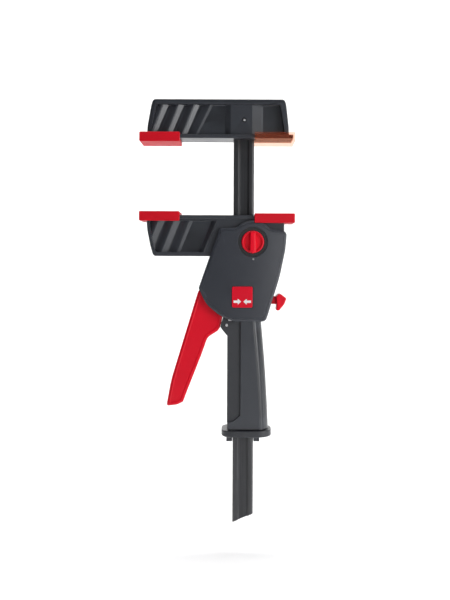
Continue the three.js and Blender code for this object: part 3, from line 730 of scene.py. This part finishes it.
def make_pad(node, jaw_side, towards_jaw, material, slot, body):
    """A push-on pad: a C-shaped channel with a closed outer end."""
    low, high = drawn_box(node)
    away = 1 if low.x > 0 else -1
    inner, outer = (low.x, high.x) if away > 0 else (high.x, low.x)
    face = low.z if towards_jaw > 0 else high.z

    def level(depth):
        return face + towards_jaw * depth

    y = PAD_DEPTH
    x0, x1 = sorted((inner, outer))
    z0, z1 = sorted((level(0), level(PAD_HEIGHT)))
    corners = [(x0, z0, 1.0), (x1, z0, 1.0), (x1, z1, 1.0), (x0, z1, 1.0)]
    pad = slab(rounded(corners, 5), -y, y, 0.6, 0.6, 4)
    lip = PAD_FACE + FLANGE_THICKNESS + 2 * GAP
    channel_y, slot_y = FLANGE_DEPTH + GAP, JAW_DEPTH + GAP
    open_end = inner - 3 * away
    in_flange = sorted((open_end, outer - away * PAD_END_WALL))
    in_jaw = sorted((open_end, jaw_side + away * GAP))
    channel = block(*in_flange, -channel_y, channel_y, level(PAD_FACE), level(lip))
    mouth = block(*in_jaw, -slot_y, slot_y, level(PAD_FACE), level(PAD_HEIGHT + 3))
    cut(pad, channel, mouth)
    soften(pad, 0.3, 2)
    piece(node, pad, material, body, slot, node)


# --------------------------------------------------------------------- housing
def cover_corners():
    """Front view of the cover: its top edge rises in an arc round the knob."""
    centre, radius = Vector((KNOB_X, KNOB_Z)), 19.8
    arc = []
    for k in range(25):
        angle = math.radians(133 - 88 * k / 24)
        arc.append((centre.x + radius * math.cos(angle), centre.y + radius * math.sin(angle)))
    left_fillet = [(-21.9, -79.3, 2.6), (-7.6, -79.2, 3.5)]
    right_side = [(24.3, -80.0, 3), (39.8, -82.6, 4.2), (38.7, -98, 90), (33.2, -124.5, 160),
                  (22.6, -159, 60), (20.3, HOUSING_BOTTOM, 4.2)]
    lower_left = [(-8.6, HOUSING_BOTTOM, 12), (-21.4, -160.8, 60), (-34.6, -149.6, 26), (-41.4, -135.0, 0.8)]
    left_side = [(-30.9, -104.6, 60)]
    return [*left_fillet, *arc, *right_side, *lower_left, *left_side]


COVER_CORNERS = cover_corners()
COVER_POINTS = rounded(COVER_CORNERS, 8)
# The cover's edge: a bright bevel, a fine groove inside it, and then the flat front.
COVER_EDGE = [
    (0.0, COVER_BACK - COVER_FRONT), (0.0, 1.75), (0.08, 1.5), (0.3, 1.25), (1.95, 0.2), (2.1, 0.2),
    (2.25, 0.5), (2.6, 0.5), (2.75, 0.06), (2.95, 0.0), (3.7, 0.0),
]


def spaced(points, least):
    """Drops points that crowd together."""
    kept = []
    for point in points:
        if not kept or (point - kept[-1]).length > least:
            kept.append(point)
    if (kept[0] - kept[-1]).length < least:
        kept.pop()
    return kept


def worn_back(make, distance):
    """An outline slab reduced on all sides: the overlap of shifted copies."""
    result = make()
    for n in range(8):
        angle = n * math.pi / 4
        aside = Vector((distance * math.cos(angle), 0, distance * math.sin(angle)))
        shifted = make()
        shifted.data.transform(Matrix.Translation(aside))
        meet(result, shifted)
    return result


def handle_right(z):
    t = (z - HANDLE_BOTTOM) / (HOUSING_BOTTOM - HANDLE_BOTTOM)
    bow = 0.8 * math.sin(math.pi * min(1, max(0, t)))
    return HANDLE_RIGHT_BOTTOM + t * (HANDLE_RIGHT_TOP - HANDLE_RIGHT_BOTTOM) + bow


def handle_section(z, skin=0.0):
    """The palm side is bevelled front and rear; the finger side is rounded."""
    left, right, y = HANDLE_LEFT, handle_right(z), HANDLE_DEPTH
    shoulder = right - 6.2
    corners = [(left, -y + 1.4, 1.6), (left + 1.4, -y, 2.4), (shoulder, -y, 5.5), (right - 0.6, -5, 16),
               (right - 0.6, 5, 16), (shoulder, y, 5.5), (left + 1.4, y, 2.4), (left, y - 1.4, 1.6)]
    return inset(rounded(corners, 6), skin)


def handle_loft(skin, z_low, z_high):
    levels = [z_low + (z_high - z_low) * k / 16 for k in range(17)]
    return loft("handle", [[(p.x, p.y, z) for p in handle_section(z, skin)] for z in levels])


def nose_points():
    """Outline of the knuckle under the trigger, where the two rivets sit."""
    return rounded([
        (-8, -158), (-17.6, -158), (-18.9, -163, 6), (-21.3, -170.6, 2.2), (-19.6, -173.4, 3),
        (-13.8, -180.2, 3), (-8, -186),
    ])


def grip_reach(grow):
    """Region of the soft insert, seen from the front."""
    edge = SEAM_X + grow
    return rounded([
        (edge, -150), (edge, -252.5 - grow, 4), (-8.6, -257.6 - grow, 6), (-30, -262.5 - grow), (-30, -150),
    ])


def grip_blank(skin_gap, outer_skin, seam_gap):
    """The insert as a skin round the finger side, down to the handle's foot."""
    outer = handle_loft(outer_skin, HANDLE_BOTTOM + 1, HOUSING_BOTTOM - GAP)
    nose = slab(nose_points(), -HANDLE_DEPTH + outer_skin, HANDLE_DEPTH - outer_skin)
    join(outer, nose)
    meet(outer, slab(grip_reach(seam_gap), -30, 30))
    core = handle_loft(INSIDE_OF_SKIN + skin_gap, HANDLE_BOTTOM - 2, -183)
    inside = HANDLE_DEPTH - INSIDE_OF_SKIN - skin_gap
    cheeks = block(-40, 20, -inside, inside, -183.5, -140)
    return cut(outer, core, cheeks)


def make_arm():
    """The sliding jaw's arm, with its recesses, ribs and both flanges."""
    long = LONG_FACE_Z - PAD_FACE - GAP
    short = SHORT_FACE_Z - PAD_FACE - GAP
    step = RAIL_HALF_WIDTH
    outline_points = rounded([
        (-89.9, long), (step - 1, long), (step, short), (37.6, short, 0.8), (37.6, -100), (0, ARM_BOTTOM),
        (-83.6, ARM_BOTTOM, 3.4), (-86.6, -95, 60), (-89.6, -80, 60),
    ])
    recess_outline = rounded([
        (-87.4, -72.7, 1.2), (-24.2, -72.7, 1.2), (-36.2, -101.9, 1.2), (-81.9, -101.9, 3), (-84.8, -90, 60),
    ])
    arm = slab(outline_points, -JAW_DEPTH, JAW_DEPTH, JAW_EDGE, JAW_EDGE)
    cut(arm, *both_faces(lambda: recess_cutter(recess_outline)))

    def features():
        ribs = [sawtooth(-72.5 + 14.3 * n, -87.2 + 14.8 * n, -71, -104, 6.0, 4.6, 3.1, 8.0) for n in range(2)]
        ribs.append(sawtooth(-46.4, -59.9, -71, -104, 3.6, 2.6, 2.0, 8.0))
        ribs.append(sawtooth(-20.0, -33.6, -71, -104, 4.4, 4.4, 4.0, 5.0))
        return ribs

    for rear in (False, True):
        for feature in features():
            meet(feature, recess_space(inset(recess_outline, -0.2)))
            join(arm, turned_back(feature) if rear else feature)
    y = FLANGE_DEPTH
    join(
        arm,
        block(body_low.x, step - 0.5, -y, y, long - FLANGE_THICKNESS, long, 0.5),
        block(step - 1.5, body_high.x, -y, y, short - FLANGE_THICKNESS, short, 0.5),
    )
    return arm


def short_pad_path():
    top = SHORT_FACE_Z - PAD_HEIGHT - GAP
    return block(9.6, 70, -30, 30, top, top + 20)


def trigger_way():
    """Outline of the slot through the mouldings in which the trigger swings."""
    return rounded([
        (-46, -129), (-34, -129), (-18, -150), (-5, -156), (-5, -182.5), (-24, -182.5), (-24, -160),
        (-46, -144),
    ])


def make_jaw_body():
    outline_points = spaced(COVER_POINTS, 0.35)
    walls_outline = inset(outline_points, 0.8)
    walls = slab(walls_outline, HOUSING_FRONT, HOUSING_REAR, 0.3, 2.2, 4)
    cut(walls, short_pad_path())
    cavity = worn_back(lambda: slab(spaced(COVER_POINTS, 1.0), -20, REAR_WALL), 3.4)
    meet(cavity, block(-60, 60, -30, 30, -162, -84))
    handle = handle_loft(0, HANDLE_BOTTOM + FOOT_GROOVE, HOUSING_BOTTOM + 2)
    join(handle, handle_loft(1.3, HANDLE_BOTTOM, HANDLE_BOTTOM + 3))
    hollow = handle_loft(4.2, HANDLE_BOTTOM - 2, -160)
    nose = slab(nose_points(), -HANDLE_DEPTH, HANDLE_DEPTH, 0.8, 0.8)
    body = make_arm()
    join(body, walls, handle, nose)
    way_y = 11.7
    cut(body, cavity, hollow, slab(trigger_way(), -way_y, way_y))
    cut(body, block(18, 36, -4.2, 4.2, -157.5, -140.6, 0.8), block(-12, 12, -8, 8, -86, -72))
    cut(body, grip_blank(0.35, -2.0, 0))
    screws = [drawn_centre(f"cover_screw_{n}") for n in (1, 2, 3)]
    join(body, *[bar_y(s.x, s.z, 4, HOUSING_FRONT, REAR_WALL + 1) for s in screws])
    shelf_right, shelf_left = 10.9, -12.4
    join(body, block(shelf_left, shelf_right, HOUSING_FRONT, REAR_WALL + 1, -146.5, -144.5))
    cut(body, rail_slot(GAP, -280, -60))
    cut(body, *[bar_y(s.x, s.z, SCREW_HOLE, -20, 30, 0, 24) for s in screws])
    cut(body, *[bar_y(s.x, s.z, 3.4, 14.4, 30, 0, 36) for s in screws])
    rivet = drawn_centre("nose_rivet_front")
    clip_slot = block(-14.6, -8.6, -18, -12.4, -165.6, -163)
    cut(body, bar_y(rivet.x, rivet.z, RIVET_HOLE, -30, 30, 0, 24), clip_slot)
    soften(body, 0.28, 2, 40)
    piece("jaw_body", body, HOUSING, "carriage", "housing_plastic", "jaw_body")


def make_grip():
    grip = grip_blank(0, -0.15, -0.35)
    rivet = drawn_centre("nose_rivet_front")
    y = HANDLE_DEPTH - GRIP_RECESS
    meet(grip, block(-60, 60, -y, y, -300, -100))
    cut(grip, bar_y(rivet.x, rivet.z, RIVET_HOLE, -30, 30, 0, 24), slab(trigger_way(), -11.9, 11.9))
    soften(grip, 0.35, 3, 50)
    piece("grip_insert", grip, GRIP, "carriage", "soft_grip", "grip_insert")


def crowned(point):
    """Lets the cover's front fall back a little towards its left and right edges."""
    depth = (COVER_BACK - point.y) / (COVER_BACK - COVER_FRONT)
    across = (point.x - COVER_CROWN_X) / COVER_CROWN_REACH
    return Vector((point.x, point.y + COVER_CROWN * across * across * max(0, depth), point.z))


def make_cover():
    cover = stepped(COVER_CORNERS, COVER_EDGE, COVER_FRONT)
    cut(cover, short_pad_path())
    screws = [drawn_centre(f"cover_screw_{n}") for n in (1, 2, 3)]
    pocket = worn_back(lambda: slab(spaced(COVER_POINTS, 1.0), COVER_FRONT + 2.4, COVER_BACK + 2), 2.6)
    cut(pocket, *[bar_y(s.x, s.z, 3.6, -30, 0) for s in screws])
    low, high = drawn_box("badge")
    x0, x1, z0, z1 = low.x - GAP, high.x + GAP, low.z - GAP, high.z + GAP
    recess = rimmed(
        rounded([(x0, z0, 1.2), (x1, z0, 1.2), (x1, z1, 1.2), (x0, z1, 1.2)]), -17.1, COVER_FRONT
    )
    marker = drawn_centre("mode_marker")
    cut(
        cover, pocket, recess,
        rimmed(circle(KNOB_X, KNOB_Z, BEZEL_RADIUS + 0.2, 96), -16.2, COVER_FRONT, 0.5),
        bar_y(KNOB_X, KNOB_Z, 4.8, -25, 0),
        rimmed(circle(marker.x, marker.z, 1.1, 32), -16.6, COVER_FRONT, 0.25),
    )
    grid_cut(cover, 4)
    shape_points(cover, crowned)
    piece("front_cover", cover, COVER, "carriage", "cover_plastic", "front_cover")


def make_badge():
    low, high = drawn_box("badge")
    corners = [(low.x, low.z, 1.6), (high.x, low.z, 1.6), (high.x, high.z, 1.6), (low.x, high.z, 1.6)]
    plaque = slab(rounded(corners), low.y, high.y, 0.35, 0.1, 4)
    piece("badge", plaque, BADGE, "carriage", "badge_plastic", "badge")
    middle = (low + high) / 2
    level = middle.z - 4.2
    for side, name in ((-1, "badge_arrow_left"), (1, "badge_arrow_right")):
        tip, neck, tail = (middle.x + side * reach for reach in (1.0, 4.2, 8.0))
        arrow = rounded([
            (tip, level, 0.3), (neck, level - 2.9, 0.3), (neck, level - 1.1, 0.2), (tail, level - 1.1, 0.3),
            (tail, level + 1.1, 0.3), (neck, level + 1.1, 0.2), (neck, level + 2.9, 0.3),
        ], 3)
        printed = slab(arrow, low.y - 0.12, low.y + 0.2, 0.08, 0, 2)
        piece(name, printed, PRINT, "carriage", "marker_plastic")


def make_end_cap():
    low, high = drawn_box("handle_end_cap")
    y = high.y
    flange_points = rounded([(low.x, -y, 11), (high.x, -y, 13), (high.x, y, 13), (low.x, y, 11)], 12)
    cap = column(flange_points, -272.3, high.z, 1.4, 0.8, 4)
    for side in (-1, 1):
        inner, outer = side * (RAIL_HALF_WIDTH + GAP), side * (RAIL_HALF_WIDTH + 5.8)
        join(cap, block(*sorted((inner, outer)), -5, 5, low.z, -271, 0.5))
    cut(cap, rail_slot(GAP, -290, -260))
    soften(cap, 0.25, 2, 50)
    piece("handle_end_cap", cap, HOUSING, "carriage", "housing_plastic", "handle_end_cap")


# --------------------------------------------------------------------- trigger
def make_trigger():
    corners = [
        (-71, -244.4, 1.6), (-66.7, -220.2, 120), (-42.3, -139, 2), (-40.6, -136.2, 1), (-36.5, -133.4, 3),
        (-30.4, -116, 5), (-27, -108.6, 4), (-15, -103.2, 6), (-10.6, -106, 4), (-11, -113, 5),
        (-22.4, -140, 10), (-21.4, -152, 20), (-19.3, -162.6, 12), (-22, -173.6, 9), (-33, -180.6, 9),
        (-39, -197.5, 60), (-50.7, -227.5, 60), (-55.6, -240.6, 3.5), (-61, -243.2, 10),
    ]
    # Rounded over, then a raised bead, then the flat side.
    half = TRIGGER_HALF_DEPTH
    edge = [
        (0.0, 1.5), (0.15, 1.05), (0.45, 0.75), (1.0, 0.6), (1.5, 0.55), (1.95, 0.1), (2.2, 0.0),
        (2.5, 0.05), (2.9, 0.4), (3.4, 0.5), (4.2, 0.5),
    ]
    rings = [*reversed([(d, -half + y) for d, y in edge]), *[(d, half - y) for d, y in edge]]
    hollow = rounded([
        (-67.6, -239.4, 1), (-64.1, -220.4, 60), (-39.8, -139.6), (-40, -125), (-34, -95), (0, -95),
        (0, -170), (-20, -185), (-45, -237), (-60, -239.4),
    ])
    trigger = stepped(corners, rings, 0)
    pivot = drawn_centre("trigger_pin")
    cut(trigger, slab(hollow, -8.8, 8.8), bar_y(pivot.x, pivot.z, 2.1, -20, 20))
    join(trigger, bar_y(-26, -113, 2.5, -10.8, 10.8))
    piece("trigger", trigger, RED, "trigger_lever", "red_plastic", "trigger")


def make_release_lever():
    arm = slab(rounded([
        (12.8, -146.8), (12.8, -144.4, 0.8), (21, -143.4, 4), (32, -142.6), (34, -150.4), (22.4, -149.6, 1),
        (21.8, -155.4, 2.5), (16.4, -155.8, 2.5), (16.1, -146.8),
    ]), -3.8, 3.8, 0.5, 0.5)
    head = slab(rounded([
        (30.2, -142.6, 1.2), (32.6, -140.4, 1.2), (34.8, -140.4, 1.6), (40.4, -144.6, 1.8), (38, -150.3, 8),
        (33.4, -155.9, 1.8), (30.3, -155.9, 1.6), (30.9, -150, 4),
    ]), -8, 8, 1.2, 1.2, 5)
    pivot = drawn_centre("release_pin")
    join(arm, head)
    cut(arm, bar_y(pivot.x, pivot.z, 1.8, -10, 10))
    soften(arm, 0.25, 2, 50)
    piece("release_lever", arm, RED, "thumb_release", "red_plastic", "release_lever")


# ------------------------------------------------------------------------ knob
def make_knob():
    low, high = drawn_box("mode_knob")
    x, z, r = KNOB_X, KNOB_Z, KNOB_RADIUS
    disc = slab(circle(x, z, r, 96), KNOB_FACE, KNOB_BACK, 1.0, 0.2, 4)
    cut(disc, rimmed(circle(x, z, r - 1.9, 96), KNOB_FLOOR, KNOB_FACE, 0.8))
    ridge = slab(rounded([
        (x - 2.6, z + r - 0.7, 1.6), (x + 2.6, z + r - 0.7, 1.6), (x + 2.9, z - r + 1.6, 1.2),
        (x, z - r - 0.6, 0.8), (x - 2.9, z - r + 1.6, 1.2),
    ]), low.y, -17.0, 1.3, 0.1, 5)
    join(disc, ridge, bar_y(x, z, 4.4, -18, high.y))
    cut(disc, bar_y(x, z, 1.8, -18.5, 0))
    soften(disc, 0.3, 3, 40)
    piece("mode_knob", disc, RED, "selector_knob", "red_plastic", "mode_knob")
    bezel_low, bezel_high = drawn_box("knob_bezel")
    # Its front is a cone that sinks towards the knob.
    front, back = bezel_low.y, bezel_high.y
    cone = [
        (BEZEL_RADIUS, back), (BEZEL_RADIUS, front + 0.15), (BEZEL_RADIUS - 0.15, front),
        (BEZEL_RADIUS - 0.5, front + 0.05), (r + 0.7, back - 0.4), (r + 0.2, back - 0.35),
    ]
    bezel = loft("bezel", [[(p.x, y, p.y) for p in circle(x, z, radius, 96)] for radius, y in cone])
    cut(bezel, slab(circle(x, z, r + 0.5, 96), -22, 0))
    piece("knob_bezel", bezel, BLACK, "carriage", "black_plastic", "knob_bezel")
    marker_low, marker_high = drawn_box("mode_marker")
    centre = drawn_centre("mode_marker")
    dot = bar_y(centre.x, centre.z, 0.85, marker_low.y, marker_high.y, 0.35, 32)
    piece("mode_marker", dot, MARKER, "carriage", "marker_plastic", "mode_marker")


def make_clip():
    """The sprung metal clip at the cover's lower edge, with rolled edges."""
    low, high = drawn_box("cover_clip")
    clip = block(low.x + 0.3, high.x, low.y, high.y, high.z - 1.8, high.z, 0.55)
    piece("cover_clip", clip, STEEL, "carriage", "bright_steel", "cover_clip")


# ------------------------------------------------------- carried-over CAD nodes
CARRIED = {
    BLACK: ["upper_guide", "lower_guide", "drive_spring_seat", "selector_rack"],
    STEEL: [
        "cover_screw_1", "cover_screw_2", "cover_screw_3", "trigger_pin", "release_pin", "nose_rivet_front",
        "nose_rivet_rear", "brake_spring_front", "brake_spring_rear", "drive_spring", "knob_shaft",
    ],
    PLATE_STEEL: [
        "drive_plate_upper", "drive_plate_lower", "brake_plate_upper", "brake_plate_lower", "selector_pinion",
    ],
}
CARRIED_EDGE = 0.12 * MM


def dress_carried_nodes():
    """Small CAD pieces keep their shape, with softened edges and a real finish."""
    for material, names in CARRIED.items():
        for name in names:
            obj = frame["nodes"][name]
            obj.data.materials.clear()
            obj.data.materials.append(material)
            bevel = obj.modifiers.new("edges", "BEVEL")
            bevel.width = CARRIED_EDGE
            bevel.segments = 2
            bevel.limit_method = "ANGLE"
            bevel.angle_limit = math.radians(50)


# ----------------------------------------------------------- stage and lighting
def make_stage():
    """A pale floor that curves up into a backdrop."""
    floor = cad_low.z - 0.03
    reach, bend_start, bend, steps, top = 6.0, 0.9, 0.6, 12, 3.0
    profile = [(-reach, floor), (bend_start, floor)]
    for k in range(1, steps + 1):
        angle = math.pi / 2 * k / steps
        profile.append((bend_start + bend * math.sin(angle), floor + bend * (1 - math.cos(angle))))
    profile.append((bend_start + bend, floor + top))
    bm = bmesh.new()
    rows = [[bm.verts.new((x, y, z)) for x in (-reach, reach)] for y, z in profile]
    for low, high in zip(rows, rows[1:]):
        bm.faces.new((low[0], low[1], high[1], high[0]))
    mesh = bpy.data.meshes.new("backdrop")
    bm.to_mesh(mesh)
    bm.free()
    backdrop = bpy.data.objects.new("backdrop", mesh)
    bpy.context.scene.collection.objects.link(backdrop)
    n = Nodes("backdrop_paper")
    tone = n.blend(n.noise(3, 2), (0.93, 0.93, 0.93), (0.96, 0.96, 0.96))
    n.link(tone, n.shader.inputs["Base Color"])
    n.shader.inputs["Roughness"].default_value = 0.9
    mesh.materials.append(n.material)
    mesh.shade_smooth()


def area_light(name, place, target, width, height, power):
    """A rectangle of light in metres and watts, turned towards its target."""
    data = bpy.data.lights.new(name, "AREA")
    data.shape = "RECTANGLE"
    data.size, data.size_y = width, height
    data.energy = power
    light = bpy.data.objects.new(name, data)
    bpy.context.scene.collection.objects.link(light)
    light.location = place
    light.rotation_euler = (Vector(target) - Vector(place)).to_track_quat("-Z", "Y").to_euler()


def make_lights():
    middle = (cad_low + cad_high) / 2
    x, z = middle.x, middle.z
    area_light("right_strip", (x + 1.2, -0.78, z + 0.25), (x, 0, z), 0.4, 1.3, 15.5)
    area_light("right_front", (x + 0.52, -1.28, z), (x, 0, z), 0.35, 0.4, 2.7)
    area_light("top_soft", (x, -0.2, z + 1.2), (x, 0, z), 1.2, 1.2, 2.2)
    area_light("backdrop_wash", (x, 0.2, z + 1.6), (x, 1.4, z - 0.2), 2.4, 0.6, 36)
    bpy.context.scene.view_settings.view_transform = "Standard"
    make_surroundings()


def make_surroundings():
    """A pale room whose end behind the camera, a little to the left, is unlit."""
    world = bpy.data.worlds.new("studio")
    world.use_nodes = True
    tree = world.node_tree
    direction = tree.nodes.new("ShaderNodeTexCoord")
    towards = tree.nodes.new("ShaderNodeVectorMath")
    towards.operation = "DOT_PRODUCT"
    turned = math.radians(28)  # of the dark end, from straight behind the camera to its left
    towards.inputs[1].default_value = (-math.sin(turned), -math.cos(turned), 0)
    fade = tree.nodes.new("ShaderNodeMapRange")
    fade.interpolation_type = "SMOOTHSTEP"
    levels = (math.cos(math.radians(72)), math.cos(math.radians(28)), 0.36, 0.07)
    for key, value in zip(("From Min", "From Max", "To Min", "To Max"), levels):
        fade.inputs[key].default_value = value
    background = tree.nodes["Background"]
    background.inputs["Color"].default_value = (0.97, 0.98, 1.0, 1)
    tree.links.new(direction.outputs["Generated"], towards.inputs[0])
    tree.links.new(towards.outputs["Value"], fade.inputs["Value"])
    tree.links.new(fade.outputs["Result"], background.inputs["Strength"])
    bpy.context.scene.world = world


def make_camera():
    """Level, square on to the rail, a little right of the long throat's middle."""
    distance = 0.733
    data = bpy.data.cameras.new("camera")
    data.sensor_width = 36
    data.lens = 46.8
    data.shift_x, data.shift_y = -0.015, -0.07
    camera = bpy.data.objects.new("camera", data)
    bpy.context.scene.collection.objects.link(camera)
    camera.location = (RAIL_X - 8.86 * MM, -distance, -107.13 * MM)
    roll = -math.radians(0.227)
    camera.rotation_euler = (math.radians(90), roll, 0)
    data.clip_start, data.clip_end = 0.01, 20
    bpy.context.scene.camera = camera


# -------------------------------------------------------------------- assembly
make_rail()
make_fixed_jaw()
make_pad("fixed_long_pad", -89.6, 1, RED_PAD, "red_pad", "fixed_frame")
make_pad("fixed_short_pad", 41.4, 1, AMBER, "amber_pad", "fixed_frame")
make_pad("sliding_long_pad", -89.9, -1, RED_PAD, "red_pad", "carriage")
make_pad("sliding_short_pad", 37.6, -1, RED_PAD, "red_pad", "carriage")
make_jaw_body()
make_grip()
make_cover()
make_badge()
make_end_cap()
make_trigger()
make_release_lever()
make_knob()
make_clip()
dress_carried_nodes()
make_stage()
make_lights()
make_camera()
